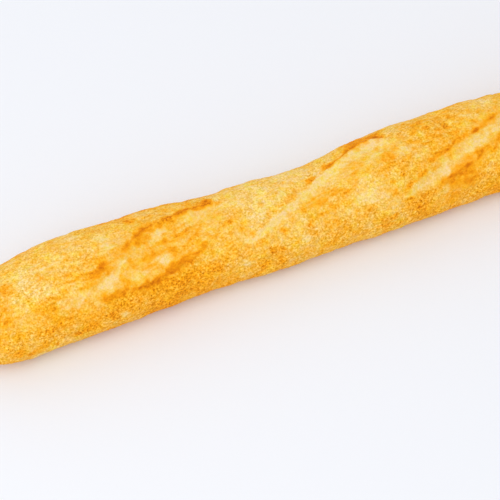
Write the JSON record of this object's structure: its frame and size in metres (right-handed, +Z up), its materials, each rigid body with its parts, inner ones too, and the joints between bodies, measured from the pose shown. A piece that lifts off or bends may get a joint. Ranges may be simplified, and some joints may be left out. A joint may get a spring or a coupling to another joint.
{
  "type": "baguette",
  "caption": "Long, slender loaf of white bread with a golden baked crust, slanted opened cuts across its crown, rounded tips and a flat underside to rest on.",
  "frame": {"origin": "on the table, under the middle of the loaf", "axes": "+X along the loaf, +Y towards its back, +Z up"},
  "size_m": [0.56, 0.0615, 0.0453],
  "materials": {
    "crust": null
  },
  "bodies": {
    "root": {"baguette": "crust"}
  },
  "joints": []
}
